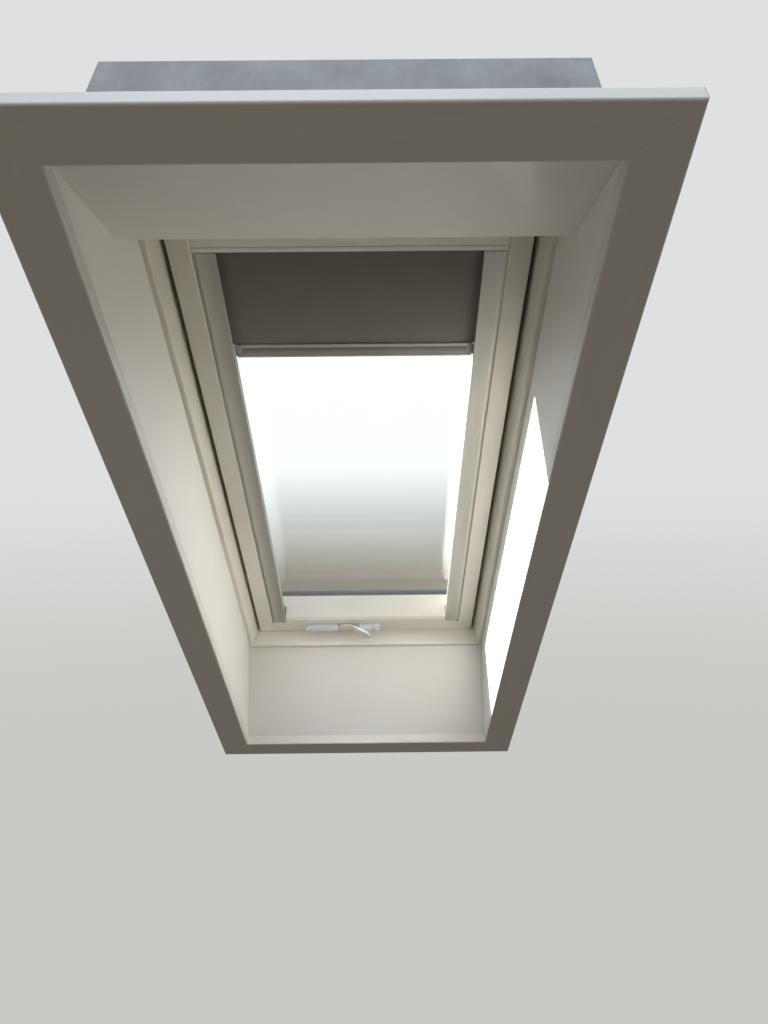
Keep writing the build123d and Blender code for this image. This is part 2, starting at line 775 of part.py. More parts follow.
def bracket(y):
    """Right fixing bracket: a leg on the jamb and a foot on the rafter."""
    inner = bracket_face
    knee = inner + bracket_thickness
    tip = inner + bracket_foot
    face = bracket_foot_depth
    back = face + bracket_thickness
    top = face + bracket_leg
    section = outline((inner, face), (tip, face), (tip, back), (knee, back), (knee, top), (inner, top))
    solid = down_slope(section, y - bracket_length / 2, y + bracket_length / 2)
    solid = fillet(solid.edges().filter_by(Axis.Z).group_by(Axis.X)[-1], bracket_corner_radius)
    solid -= rod_z(bracket_hole_radius, face, back, tip - bracket_hole_edge, y)
    return solid - bracket_screws(running_play)


def bracket_screws(play=0.0):
    """Screws that hold the brackets to the jambs, or the holes that they go in."""
    face = bracket_face + bracket_thickness
    z = bracket_foot_depth + bracket_leg - bracket_screw_edge
    screws = []
    for middle in bracket_places().values():
        for y in (middle - bracket_screw_spacing / 2, middle + bracket_screw_spacing / 2):
            shank = rod_x(screw_radius + play, face - screw_length, face, y, z)
            screw = shank + rod_x(screw_head_radius, face, face + screw_head_height, y, z)
            screws += [screw, mirrored(screw)]
    return screws


def build_nodes():
    """Every piece by its node name, in the roof's axes."""
    nodes = {}
    frame = frame_pieces()
    nodes["frame_left_jamb"] = frame["left"]
    nodes["frame_right_jamb"] = frame["right"]
    nodes["frame_head"] = frame["top"]
    nodes["frame_sill"] = frame["bottom"]
    nodes["frame_gasket"] = frame_gasket()
    half = opening_half_width
    nodes["lining_right"] = side_board()
    nodes["lining_left"] = mirrored(nodes["lining_right"])
    nodes["lining_bottom"] = across(outline(*bottom_board_points()), -half, half)
    nodes["lining_top"] = across(outline(*top_board_points()), -half, half)
    nodes["lining_head_closer"] = across(outline(*head_closer_points()), -half, half)
    for side, piece in trim_pieces().items():
        nodes[f"architrave_{side}"] = piece
    nodes.update(sash_pieces())
    nodes.update(glazing_pieces())
    nodes.update(sash_covers())
    nodes.update(frame_covers())
    nodes["head_hood"] = head_hood()
    frame_leaf, sash_leaf, pin = hinge_pieces()
    nodes["hinge_frame_leaf_right"] = frame_leaf
    nodes["hinge_frame_leaf_left"] = mirrored(frame_leaf)
    nodes["hinge_sash_leaf_right"] = sash_leaf
    nodes["hinge_sash_leaf_left"] = mirrored(sash_leaf)
    nodes["hinge_pin_right"] = pin
    nodes["hinge_pin_left"] = mirrored(pin)
    nodes["blind_rail_right"] = side_rail()
    nodes["blind_rail_left"] = mirrored(nodes["blind_rail_right"])
    casing, cap = casing_pieces()
    nodes["blind_casing"] = casing
    nodes["blind_cap_right"] = cap
    nodes["blind_cap_left"] = mirrored(cap)
    nodes["roller_tube"], nodes["fabric_roll"] = roller_pieces()
    bar, bar_cap = blind_bar_pieces()
    nodes["blind_bar"] = bar
    nodes["blind_bar_end_right"] = bar_cap
    nodes["blind_bar_end_left"] = mirrored(bar_cap)
    nodes["blind_fabric"] = blind_fabric()
    nodes["handle_plate"], nodes["handle_screws"] = handle_plate_pieces()
    nodes["handle_lever"] = handle_lever()
    nodes["lever_spindle"], nodes["latch_tongue"] = latch_pieces()
    nodes["keeper_plate"] = keeper_plate()
    for row, y in bracket_places().items():
        piece = bracket(y)
        nodes[f"bracket_{row}_right"] = piece
        nodes[f"bracket_{row}_left"] = mirrored(piece)
    nodes["bracket_screws"] = Compound(bracket_screws())
    return nodes


os.makedirs("parts", exist_ok=True)
upright = Rot(-roof_pitch, 0, 0)
for name, solid in build_nodes().items():
    export_step(upright * solid, f"parts/{name}.step")
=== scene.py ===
from math import cos, pi, radians, sin

import bpy
import numpy as np
from mathutils import Matrix, Vector


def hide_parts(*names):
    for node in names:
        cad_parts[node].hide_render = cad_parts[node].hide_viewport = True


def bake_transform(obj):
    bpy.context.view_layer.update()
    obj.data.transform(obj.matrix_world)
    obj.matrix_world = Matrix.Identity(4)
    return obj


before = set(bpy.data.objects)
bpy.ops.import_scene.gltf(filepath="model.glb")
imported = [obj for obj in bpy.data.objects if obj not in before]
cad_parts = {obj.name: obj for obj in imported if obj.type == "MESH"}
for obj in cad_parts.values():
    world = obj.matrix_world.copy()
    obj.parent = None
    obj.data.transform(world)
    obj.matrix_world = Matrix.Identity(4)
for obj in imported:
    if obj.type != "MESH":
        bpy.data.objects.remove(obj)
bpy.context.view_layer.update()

# Roof axes: X across, Y down the slope, Z out through the roof. Blind, glass and lights are given in them; the
# camera's place and the stage are given in the row frame, with Z up. Lengths are in metres.
roof_pitch = radians(37.0)
upright = np.array([[1, 0, 0], [0, cos(roof_pitch), sin(roof_pitch)], [0, -sin(roof_pitch), cos(roof_pitch)]])

# Camera, as fitted to the straight edges of trim, boards, frame and sash
photo_height = 1024
focal_pixels = 828.0
camera_place = np.array([0.0353, -1.3282, -0.0571])
camera_tilt = radians(52.78)
camera_yaw = radians(-0.21)
camera_roll = radians(-0.57)

# Blind
fabric_half_width = 0.1745
fabric_top = -0.4364
fabric_bottom = -0.2446
fabric_plane = 0.04665
fabric_thickness = 0.0005
cloth_rows, cloth_columns = 121, 181
wrinkle_reach = 0.022
wrinkle_height = 0.00035
wrinkle_waves = ((1.0, 0.047, 0.0, 0.8), (0.6, 0.031, 0.0, 2.1), (0.5, 0.083, 0.3, 0.0))  # share, length, slant, phase
billow_height = 0.0003
billow_length = 0.21
billow_phase = 0.5
flat_margin = 0.004
margin_fade = 0.02
# Painted light: the cloth's colour is raised from partway down to the bar, for the light on its lower part.
painted_light_cloth_drop = (0.35, 1.0)  # shares of the way from roll to bar
painted_light_cloth_tone = (1.42, 1.42, 1.42)
rail_inner_face = 0.1675
# Painted shade: the rails' colour is darkened towards the inner lip, for the shading across their hollow.
rail_painted_shade_band = (0.176, 0.194)  # full and none, across from the centre line
rail_painted_shade_tone = (0.80, 0.80, 0.80)
# Painted shade: the bar's colour is darkened across its recess, under the top lip.
bar_recess_painted_shade = (-0.2394, 0.0004, -0.2305, 0.0045)  # upper end and its blur, lower end and its blur
bar_recess_painted_shade_tone = (0.42, 0.42, 0.43)

# Surface effects
relief_depth = 0.0004
# Painted highlight: painted edges are this much paler, for light caught by their rounded edges.
painted_edge_highlight = 1.25
paint_edge_limit = 0.97
paint_edge_reach = 0.0016
# Strength of the metal edge tones: wear on some finishes, painted highlight on others.
metal_edge_wear_and_highlight = 0.9
edge_cosines = (0.99, 0.86)  # rounded to flat normal, where an edge starts and where it is full

# Stage and light
floor_level = -1.7
stage_centre = 0.0005
stage_bend_steps, stage_steps_around = 25, 96
floor_bend = 2.0
wall_place = 7.0
backdrop_height = 14.0
backdrop_rise = 2.2
horizon_band = (-0.6, 0.45)  # heights of ground and sky tone behind the glass
floor_tone = (0.60, 0.585, 0.56)
backdrop_tone = (0.74, 0.75, 0.75)
sky_tone = (1.25, 1.3, 1.32)
ground_tone = (0.30, 0.26, 0.22)
room_light = (0.138, 0.116, 0.088)
outside_light = (0.60, 0.65, 0.72)
outside_shine = (1.5, 1.6, 1.8)
roof_facing = (-0.6, 0.3)  # cosines to the outward normal, from room light to outside light
glass_opening = (0.199, -0.474, 0.517)  # half width, top, bottom
glass_outside = 0.1135
sky_glow = 1.5
sky_colour = (0.96, 0.98, 1.0)
sun_place = (0, 0, 2)
sun_beam = (1.157, 0.03, -1.0)  # direction of travel
sun_strength = 18.5
sun_spread = 0.6
zenith_light = 1.6
zenith_spread = 75.0
zenith_colour = (0.82, 0.92, 1.0)
key_strength = 0.6
key_spread = 20.0
sunlit_inside = ("lining_right", "architrave_right", "frame_right_jamb", "sash_right_stile", "blind_rail_right")
sun_colour = (1.0, 0.97, 0.92)
sky_shaded = ("sash_bottom_rail",)

# Small lights in the room: name, collection of the nodes it lights, those nodes, place, target, size, watts, colour
room_lights = (
    ("room_bounce", "bounce_lit",
     ("sash_left_stile", "sash_bottom_rail", "frame_sill", "frame_left_jamb", "handle_lever"),
     (-0.22, 0.30, -0.32), (-0.16, 0.50, 0.03), (0.25, 0.20), 0.36, sun_colour),
    ("sunlit_patch_glow", "patch_lit", ("blind_rail_right",),
     (0.215, -0.26, -0.10), (0.18, -0.26, 0.035), (0.08, 0.45), 0.07, sun_colour),
    ("plate_shine", "plate_lit", ("handle_plate",),
     (-0.05, 0.24, -0.40), (-0.05, 0.52, 0.02), (0.34, 0.20), 0.07, (0.86, 0.94, 1.0)),
    ("left_board_glow", "board_lit", ("lining_left",),
     (0.20, -0.42, -0.14), (-0.24, -0.42, -0.12), (0.12, 0.40), 0.15, (1.0, 0.92, 0.80)),
)


def to_row(points):
    """Points in roof axes, turned by the roof pitch into the row frame."""
    return np.asarray(points, float) @ upright.T


def grid_mesh(name, points, closed=False):
    """Mesh of quads over a grid of points (rows, columns, 3); closed joins the last column to the first."""
    rows, columns = points.shape[:2]
    index = np.arange(rows * columns).reshape(rows, columns)
    if closed:
        index = np.concatenate([index, index[:, :1]], axis=1)
    quads = np.stack([index[:-1, :-1], index[:-1, 1:], index[1:, 1:], index[1:, :-1]], axis=-1)
    mesh = bpy.data.meshes.new(name)
    mesh.from_pydata(points.reshape(-1, 3).tolist(), [], quads.reshape(-1, 4).tolist())
    mesh.update()
    return mesh


def add_object(name, mesh, material):
    """Object at the origin with one material, shaded smooth."""
    thing = bpy.data.objects.new(name, mesh)
    bpy.context.scene.collection.objects.link(thing)
    mesh.materials.append(material)
    mesh.polygons.foreach_set("use_smooth", np.ones(len(mesh.polygons), bool))
    return thing


# Shader building blocks

def add_node(tree, kind, **values):
    """New shader node; values set its properties, or its inputs by name, with _ for a space."""
    node = tree.nodes.new(kind)
    for key, value in values.items():
        if hasattr(node, key):
            setattr(node, key, value)
        else:
            node.inputs[key.replace("_", " ")].default_value = value
    return node


def new_group(name, inputs, outputs):
    """Node group with named sockets: (name, kind, default) inputs and (name, kind) outputs."""
    group = bpy.data.node_groups.new(name, "ShaderNodeTree")
    for label, kind, default in inputs:
        socket = group.interface.new_socket(label, in_out="INPUT", socket_type=kind)
        socket.default_value = default
    for label, kind in outputs:
        group.interface.new_socket(label, in_out="OUTPUT", socket_type=kind)
    return group, group.nodes.new("NodeGroupInput"), group.nodes.new("NodeGroupOutput")


def feed(tree, socket, value):
    """Link a socket to an input, or set the input to a value."""
    if isinstance(value, bpy.types.NodeSocket):
        tree.links.new(value, socket)
    else:
        socket.default_value = value


def mix_colour(tree, factor, first, second, blend="MIX"):
    """Mix of two colours; each argument is a socket or a value. Slots 6, 7 and 2 are the node's colour ones."""
    node = add_node(tree, "ShaderNodeMix", data_type="RGBA", blend_type=blend)
    for slot, value in ((0, factor), (6, first), (7, second)):
        feed(tree, node.inputs[slot], value)
    return node.outputs[2]


def scaled_noise(tree, vector, scale, stretch=(1, 1, 1), detail=3.0):
    """Noise over a stretched copy of the vector."""
    mapping = add_node(tree, "ShaderNodeMapping")
    mapping.inputs["Scale"].default_value = stretch
    noise = add_node(tree, "ShaderNodeTexNoise")
    noise.inputs["Scale"].default_value = scale
    noise.inputs["Detail"].default_value = detail
    tree.links.new(vector, mapping.inputs["Vector"])
    tree.links.new(mapping.outputs["Vector"], noise.inputs["Vector"])
    return noise.outputs["Fac"]


def ranged(tree, value, low, high, to_low=0.0, to_high=1.0):
    """Value mapped from one range to another."""
    node = add_node(tree, "ShaderNodeMapRange")
    labels = ("Value", "From Min", "From Max", "To Min", "To Max")
    for label, number in zip(labels, (value, low, high, to_low, to_high)):
        feed(tree, node.inputs[label], number)
    return node.outputs["Result"]


def maths(tree, operation, first, second):
    """One maths node on sockets or values."""
    node = add_node(tree, "ShaderNodeMath", operation=operation)
    for slot, value in enumerate((first, second)):
        feed(tree, node.inputs[slot], value)
    return node.outputs[0]


surface_outputs = (("Colour", "NodeSocketColor"), ("Roughness", "NodeSocketFloat"), ("Height", "NodeSocketFloat"))


def paint_film_group():
    """Brushed paint: cloudy tone, faint strokes along the second axis, fine orange peel."""
    group, start, end = new_group(
        "paint_film",
        [("Vector", "NodeSocketVector", (0, 0, 0)), ("Colour", "NodeSocketColor", (0.8, 0.8, 0.8, 1)),
         ("Aged Colour", "NodeSocketColor", (0.7, 0.68, 0.6, 1)), ("Strokes", "NodeSocketFloat", 0.3),
         ("Gloss", "NodeSocketFloat", 0.45)],
        surface_outputs,
    )
    vector = start.outputs["Vector"]
    cloud = scaled_noise(group, vector, 3.5, detail=2.0)
    stroke = scaled_noise(group, vector, 14.0, stretch=(22, 1, 22), detail=4.0)
    peel = scaled_noise(group, vector, 900.0, detail=1.0)
    aged = mix_colour(group, ranged(group, cloud, 0.35, 0.75), start.outputs["Colour"],
                      start.outputs["Aged Colour"])
    stroke_tone = maths(group, "MULTIPLY", ranged(group, stroke, 0.3, 0.7, -0.05, 0.05), start.outputs["Strokes"])
    toned = mix_colour(group, maths(group, "ADD", 0.06, stroke_tone), aged, (0.25, 0.23, 0.2, 1), "MULTIPLY")
    group.links.new(toned, end.inputs["Colour"])
    rough = maths(group, "ADD", start.outputs["Gloss"], ranged(group, cloud, 0.3, 0.7, -0.05, 0.07))
    group.links.new(rough, end.inputs["Roughness"])
    height = maths(group, "ADD", maths(group, "MULTIPLY", stroke, start.outputs["Strokes"]),
                   maths(group, "MULTIPLY", peel, 0.25))
    group.links.new(height, end.inputs["Height"])
    return group


def drawn_metal_group():
    """Rolled or drawn metal: fine streaks along the second axis and a slightly uneven film."""
    group, start, end = new_group(
        "drawn_metal",
        [("Vector", "NodeSocketVector", (0, 0, 0)), ("Colour", "NodeSocketColor", (0.6, 0.6, 0.6, 1)),
         ("Streaks", "NodeSocketFloat", 0.3), ("Gloss", "NodeSocketFloat", 0.35)],
        surface_outputs,
    )
    vector = start.outputs["Vector"]
    streak = scaled_noise(group, vector, 60.0, stretch=(30, 0.5, 30), detail=3.0)
    film = scaled_noise(group, vector, 12.0, detail=3.0)
    shade = maths(group, "MULTIPLY", ranged(group, streak, 0.3, 0.7), start.outputs["Streaks"])
    toned = mix_colour(group, shade, start.outputs["Colour"], (0.3, 0.3, 0.3, 1), "MULTIPLY")
    group.links.new(toned, end.inputs["Colour"])
    rough = maths(group, "ADD", start.outputs["Gloss"], ranged(group, film, 0.3, 0.7, -0.06, 0.08))
    group.links.new(rough, end.inputs["Roughness"])
    group.links.new(maths(group, "MULTIPLY", streak, start.outputs["Streaks"]), end.inputs["Height"])
    return group


def cloth_weave_group():
    """Coated cloth: fine crossed threads with a slub, and a faint mottle."""
    group, start, end = new_group(
        "cloth_weave",
        [("Vector", "NodeSocketVector", (0, 0, 0)), ("Colour", "NodeSocketColor", (0.2, 0.2, 0.2, 1)),
         ("Thread Colour", "NodeSocketColor", (0.3, 0.3, 0.3, 1))],
        surface_outputs,
    )
    vector = start.outputs["Vector"]
    threads = []
    for axis in ("X", "Y"):
        wave = add_node(group, "ShaderNodeTexWave", wave_type="BANDS", bands_direction=axis)
        wave.inputs["Scale"].default_value = 420.0
        wave.inputs["Distortion"].default_value = 0.6
        wave.inputs["Detail"].default_value = 1.0
        group.links.new(vector, wave.inputs["Vector"])
        threads.append(wave.outputs["Fac"])
    weave = maths(group, "MAXIMUM", *threads)
    mottle = scaled_noise(group, vector, 30.0, detail=4.0)
    slub = scaled_noise(group, vector, 160.0, stretch=(0.15, 1, 1), detail=2.0)
    uneven = maths(group, "ADD", ranged(group, mottle, 0.3, 0.7, -0.1, 0.2), ranged(group, slub, 0.4, 0.8, 0, 0.2))
    tone = maths(group, "ADD", maths(group, "MULTIPLY", weave, 0.35), uneven)
    group.links.new(mix_colour(group, tone, start.outputs["Colour"], start.outputs["Thread Colour"]),
                    end.inputs["Colour"])
    group.links.new(ranged(group, mottle, 0.3, 0.7, 0.62, 0.78), end.inputs["Roughness"])
    group.links.new(maths(group, "ADD", weave, slub), end.inputs["Height"])
    return group


def edge_wear_and_highlight_group():
    """Edges in a second colour, worn on some finishes and a painted highlight on others: an edge mask, broken up by
    noise, between two colours.
    """
    group, start, end = new_group(
        "edge_wear_and_highlight",
        [("Vector", "NodeSocketVector", (0, 0, 0)), ("Colour", "NodeSocketColor", (0.8, 0.8, 0.8, 1)),
         ("Edge Colour", "NodeSocketColor", (0.9, 0.9, 0.9, 1)), ("Edge", "NodeSocketFloat", 0.0),
         ("Wear And Highlight", "NodeSocketFloat", 0.5)],
        [("Colour", "NodeSocketColor"), ("Mask", "NodeSocketFloat")],
    )
    broken = ranged(group, scaled_noise(group, start.outputs["Vector"], 45.0, detail=3.0), 0.35, 0.6, 0.6, 1.0)
    mask = maths(group, "MULTIPLY", maths(group, "MULTIPLY", start.outputs["Edge"], start.outputs["Wear And Highlight"]), broken)
    group.links.new(mask, end.inputs["Mask"])
    group.links.new(mix_colour(group, mask, start.outputs["Colour"], start.outputs["Edge Colour"]),
                    end.inputs["Colour"])
    return group


def rain_mark_group():
    """Dust dried on in streaks down the slope and in small spots."""
    group, start, end = new_group(
        "rain_marks",
        [("Vector", "NodeSocketVector", (0, 0, 0)), ("Colour", "NodeSocketColor", (0.1, 0.1, 0.1, 1)),
         ("Dust Colour", "NodeSocketColor", (0.3, 0.28, 0.25, 1)), ("Dust", "NodeSocketFloat", 0.5)],
        [("Colour", "NodeSocketColor")],
    )
    vector = start.outputs["Vector"]
    streak = ranged(group, scaled_noise(group, vector, 9.0, stretch=(11, 0.7, 3), detail=5.0), 0.45, 0.85)
    spot = ranged(group, scaled_noise(group, vector, 260.0, detail=2.0), 0.62, 0.75, 0.0, 0.5)
    mask = maths(group, "MULTIPLY", maths(group, "MAXIMUM", streak, spot), start.outputs["Dust"])
    group.links.new(mix_colour(group, mask, start.outputs["Colour"], start.outputs["Dust Colour"]),
                    end.inputs["Colour"])
    return group


paint_film = paint_film_group()
edge_wear_and_highlight = edge_wear_and_highlight_group()
rain_marks = rain_mark_group()
drawn_metal = drawn_metal_group()
cloth_weave = cloth_weave_group()


def new_material(name, group, settings, turned=0.0, bump=0.0, edge=None, dust=0.0, **shader):
    """Principled material fed by one of the groups, on roof axes turned about Z.

    edge is the colour, strength and rounding radius of its edges, worn on some finishes and a painted highlight on
    others; dust is the strength of its rain marks."""
    material = bpy.data.materials.new(name)
    material.use_nodes = True
    tree = material.node_tree
    principled = tree.nodes["Principled BSDF"]
    for label, value in shader.items():
        principled.inputs[label.replace("_", " ")].default_value = value
    place = add_node(tree, "ShaderNodeTexCoord")
    roof = add_node(tree, "ShaderNodeMapping")
    roof.inputs["Rotation"].default_value = (roof_pitch, 0, 0)
    turn = add_node(tree, "ShaderNodeMapping")
    turn.inputs["Rotation"].default_value = (0, 0, turned)
    tree.links.new(place.outputs["Object"], roof.inputs["Vector"])
    tree.links.new(roof.outputs["Vector"], turn.inputs["Vector"])
    effect = add_node(tree, "ShaderNodeGroup", node_tree=group)
    tree.links.new(turn.outputs["Vector"], effect.inputs["Vector"])
    for label, value in settings.items():
        effect.inputs[label].default_value = value
    colour = effect.outputs["Colour"]
    relief = add_node(tree, "ShaderNodeBump")
    relief.inputs["Strength"].default_value = bump
    relief.inputs["Distance"].default_value = relief_depth
    tree.links.new(effect.outputs["Height"], relief.inputs["Height"])
    if dust:
        marks = add_node(tree, "ShaderNodeGroup", node_tree=rain_marks)
        marks.inputs["Dust"].default_value = dust
        tree.links.new(roof.outputs["Vector"], marks.inputs["Vector"])
        tree.links.new(colour, marks.inputs["Colour"])
        colour = marks.outputs["Colour"]
    if edge:
        edge_colour, wear_and_highlight, radius = edge
        rounding = add_node(tree, "ShaderNodeBevel", samples=4, Radius=radius)
        surface = add_node(tree, "ShaderNodeNewGeometry")
        across = add_node(tree, "ShaderNodeVectorMath", operation="DOT_PRODUCT")
        tree.links.new(rounding.outputs["Normal"], across.inputs[0])
        tree.links.new(surface.outputs["Normal"], across.inputs[1])
        edge_wear_and_highlight_node = add_node(tree, "ShaderNodeGroup", node_tree=edge_wear_and_highlight)
        edge_wear_and_highlight_node.inputs["Edge Colour"].default_value = (*edge_colour, 1)
        edge_wear_and_highlight_node.inputs["Wear And Highlight"].default_value = wear_and_highlight
        tree.links.new(roof.outputs["Vector"], edge_wear_and_highlight_node.inputs["Vector"])
        tree.links.new(colour, edge_wear_and_highlight_node.inputs["Colour"])
        tree.links.new(ranged(tree, across.outputs["Value"], *edge_cosines), edge_wear_and_highlight_node.inputs["Edge"])
        tree.links.new(rounding.outputs["Normal"], relief.inputs["Normal"])
        colour = edge_wear_and_highlight_node.outputs["Colour"]
    tree.links.new(colour, principled.inputs["Base Color"])
    tree.links.new(effect.outputs["Roughness"], principled.inputs["Roughness"])
    tree.links.new(relief.outputs["Normal"], principled.inputs["Normal"])
    return material


def tint_where(material, mask, tone):
    """Multiply a material's base colour by a tone where the mask is 1."""
    tree = material.node_tree
    base = tree.nodes["Principled BSDF"].inputs["Base Color"]
    tree.links.new(mix_colour(tree, mask, base.links[0].from_socket, (*tone, 1), "MULTIPLY"), base)


def roof_coordinate(material, axis):
    """Roof coordinate along X, Y or Z of the shaded point, as a socket of the material's tree."""
    tree = material.node_tree
    roof = next(node for node in tree.nodes if node.bl_idname == "ShaderNodeMapping")
    parts = add_node(tree, "ShaderNodeSeparateXYZ")
    tree.links.new(roof.outputs["Vector"], parts.inputs["Vector"])
    return parts.outputs[axis]


def slope_band(material, low, low_blur, high, high_blur):
    """Mask that is 1 between two places down the slope, in metres; each end fades over twice its blur."""
    tree, down = material.node_tree, roof_coordinate(material, "Y")
    rise = ranged(tree, down, low - low_blur, low + low_blur)
    fall = ranged(tree, down, high + high_blur, high - high_blur)
    return maths(tree, "MULTIPLY", rise, fall)


def width_band(material, inner, outer):
    """Mask that falls from 1 to 0 between two distances from the window's centre line, in metres."""
    tree = material.node_tree
    return ranged(tree, maths(tree, "ABSOLUTE", roof_coordinate(material, "X"), 0.0), outer, inner)


def painted(name, colour, aged, gloss, strokes, turned=0.0):
    """Painted timber or board; its edges are painted paler, a painted highlight for light on the rounded edges."""
    settings = {"Colour": (*colour, 1), "Aged Colour": (*aged, 1), "Strokes": strokes, "Gloss": gloss}
    edge = (tuple(min(painted_edge_highlight * tone, paint_edge_limit) for tone in colour), 1.0, paint_edge_reach)
    return new_material(name, paint_film, settings, turned, bump=0.25, edge=edge, IOR=1.48, Coat_Weight=0.08)


def metal(name, colour, gloss, streaks, metallic, edge_tone=None, dust=0.0, turned=0.0, edge_reach=0.0008):
    """Drawn, rolled or lacquered metal; edge_tone is the colour of its edges: worn on the slate covers and zinc, a
    painted highlight on the rails and casing, lighter on the rest.
    """
    settings = {"Colour": (*colour, 1), "Streaks": streaks, "Gloss": gloss}
    edge = edge_tone and (edge_tone, metal_edge_wear_and_highlight, edge_reach)
    return new_material(name, drawn_metal, settings, turned, bump=0.15, edge=edge, dust=dust, Metallic=metallic)


def glass_material():
    """Clear float glass with a faint green tint."""
    material = bpy.data.materials.new("clear_float_glass")
    material.use_nodes = True
    principled = material.node_tree.nodes["Principled BSDF"]
    for label, value in (("Base Color", (0.96, 0.985, 0.975, 1)), ("Roughness", 0.0),
                         ("Transmission Weight", 1.0), ("IOR", 1.5)):
        principled.inputs[label].default_value = value
    return material


# Materials of the window

quarter = pi / 2


def both_ways(make, name, *values):
    """Two materials of one finish: grain down the slope, and turned a quarter for pieces that lie across."""
    return tuple(make(name + word, *values, turned=turned) for word, turned in (("", 0.0), ("_across", quarter)))


lacquer, lacquer_across = both_ways(
    painted, "cream_lacquered_pine", (0.79, 0.77, 0.705), (0.73, 0.705, 0.635), 0.34, 0.12)
board_white, board_white_across = both_ways(
    painted, "white_painted_board", (0.80, 0.785, 0.75), (0.755, 0.735, 0.69), 0.42, 0.35)
# Painted shade: the trim is the boards' white paint made darker, for its room face standing against the light.
trim_white_painted_shade, trim_white_painted_shade_across = both_ways(
    painted, "white_painted_trim", (0.71, 0.69, 0.645), (0.66, 0.64, 0.59), 0.45, 0.45)
seal_rubber = metal("black_seal_rubber", (0.11, 0.094, 0.068), 0.6, 0.1, 0.0)
spacer_bar = metal("dark_spacer_bar", (0.045, 0.05, 0.06), 0.4, 0.3, 0.4, turned=quarter)
slate_sheet, slate_sheet_across = both_ways(
    metal, "slate_grey_lacquered_sheet", (0.085, 0.088, 0.092), 0.42, 0.25, 0.15, (0.26, 0.265, 0.27), 0.2)
zinc = metal("zinc_plated_steel", (0.60, 0.60, 0.57), 0.38, 0.35, 1.0, (0.78, 0.78, 0.76), 0.12)
# Painted highlight: the pale edge tones of rails and casing stand for light on their lips and rounded edges.
rail_satin = metal("satin_lacquered_rail", (0.60, 0.60, 0.56), 0.55, 0.12, 0.0, (0.97, 0.97, 0.93),
                   edge_reach=0.0018)
casing_satin = metal("satin_lacquered_casing", (0.86, 0.85, 0.80), 0.55, 0.10, 0.0, (0.97, 0.96, 0.92),
                     turned=quarter)
bar_satin = metal("satin_lacquered_bar", (0.52, 0.52, 0.49), 0.55, 0.12, 0.0, (0.62, 0.62, 0.59), turned=quarter)
end_plastic = metal("grey_moulded_end_piece", (0.42, 0.41, 0.38), 0.5, 0.1, 0.0, (0.50, 0.49, 0.46))
# Painted reflection: the plate's colour and edge tone are tinted blue for the sky it reflects.
polished = metal("polished_handle_metal", (0.84, 0.90, 0.98), 0.24, 0.08, 0.7, (0.92, 0.95, 0.98), turned=quarter)
lever_satin = metal("satin_lever_metal", (0.72, 0.73, 0.68), 0.30, 0.12, 0.5, (0.85, 0.86, 0.82), turned=quarter)
# Painted shade across the rails' hollow.
tint_where(rail_satin, width_band(rail_satin, *rail_painted_shade_band), rail_painted_shade_tone)
# Painted shade in the bar's recess.
tint_where(bar_satin, slope_band(bar_satin, *bar_recess_painted_shade), bar_recess_painted_shade_tone)
cloth = new_material(
    "taupe_blackout_cloth", cloth_weave,
    {"Colour": (0.125, 0.117, 0.103, 1), "Thread Colour": (0.17, 0.16, 0.142, 1)},
    bump=0.2, Sheen_Weight=0.15, Sheen_Roughness=0.5,
)
# Painted light on the lower cloth, read from the drop attribute.
drop_read = add_node(cloth.node_tree, "ShaderNodeAttribute", attribute_name="drop")
tint_where(cloth, ranged(cloth.node_tree, drop_read.outputs["Fac"], *painted_light_cloth_drop), painted_light_cloth_tone)
glass = glass_material()


def dress(material, *names):
    """Give CAD nodes a material."""
    for name in names:
        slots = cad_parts[name].material_slots
        for slot in slots:
            slot.material = material


sides = ("left", "right")
dress(lacquer, "frame_left_jamb", "frame_right_jamb", "sash_left_stile", "sash_right_stile")
dress(lacquer_across, "frame_head", "frame_sill", "sash_top_rail", "sash_bottom_rail")
dress(board_white, "lining_left", "lining_right")
dress(board_white_across, "lining_top", "lining_bottom", "lining_head_closer")
dress(trim_white_painted_shade, "architrave_left", "architrave_right")
dress(trim_white_painted_shade_across, "architrave_top", "architrave_bottom")
dress(seal_rubber, "frame_gasket", "glazing_gasket")
dress(spacer_bar, "glass_spacer")
dress(glass, "glass_inner_pane", "glass_outer_pane")
dress(slate_sheet, *(f"{part}_cover_{side}" for part in ("sash", "frame") for side in sides))
dress(slate_sheet_across, "sash_cover_top", "sash_cover_bottom", "frame_cover_sill", "head_hood")
dress(zinc, *(f"{part}_{side}" for side in sides for part in (
    "hinge_frame_leaf", "hinge_sash_leaf", "hinge_pin", "bracket_upper", "bracket_lower")))
dress(zinc, "bracket_screws", "handle_screws", "lever_spindle", "latch_tongue", "keeper_plate")
dress(rail_satin, "blind_rail_left", "blind_rail_right")
dress(casing_satin, "blind_casing", "blind_cap_left", "blind_cap_right", "roller_tube")
dress(bar_satin, "blind_bar")
dress(end_plastic, "blind_bar_end_left", "blind_bar_end_right")
dress(cloth, "fabric_roll", "blind_fabric")
dress(polished, "handle_plate")
dress(lever_satin, "handle_lever")

# The panes let the soft light through instead of shading the lining behind them.
for name in ("glass_inner_pane", "glass_outer_pane"):
    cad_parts[name].visible_shadow = False
    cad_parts[name].visible_diffuse = False


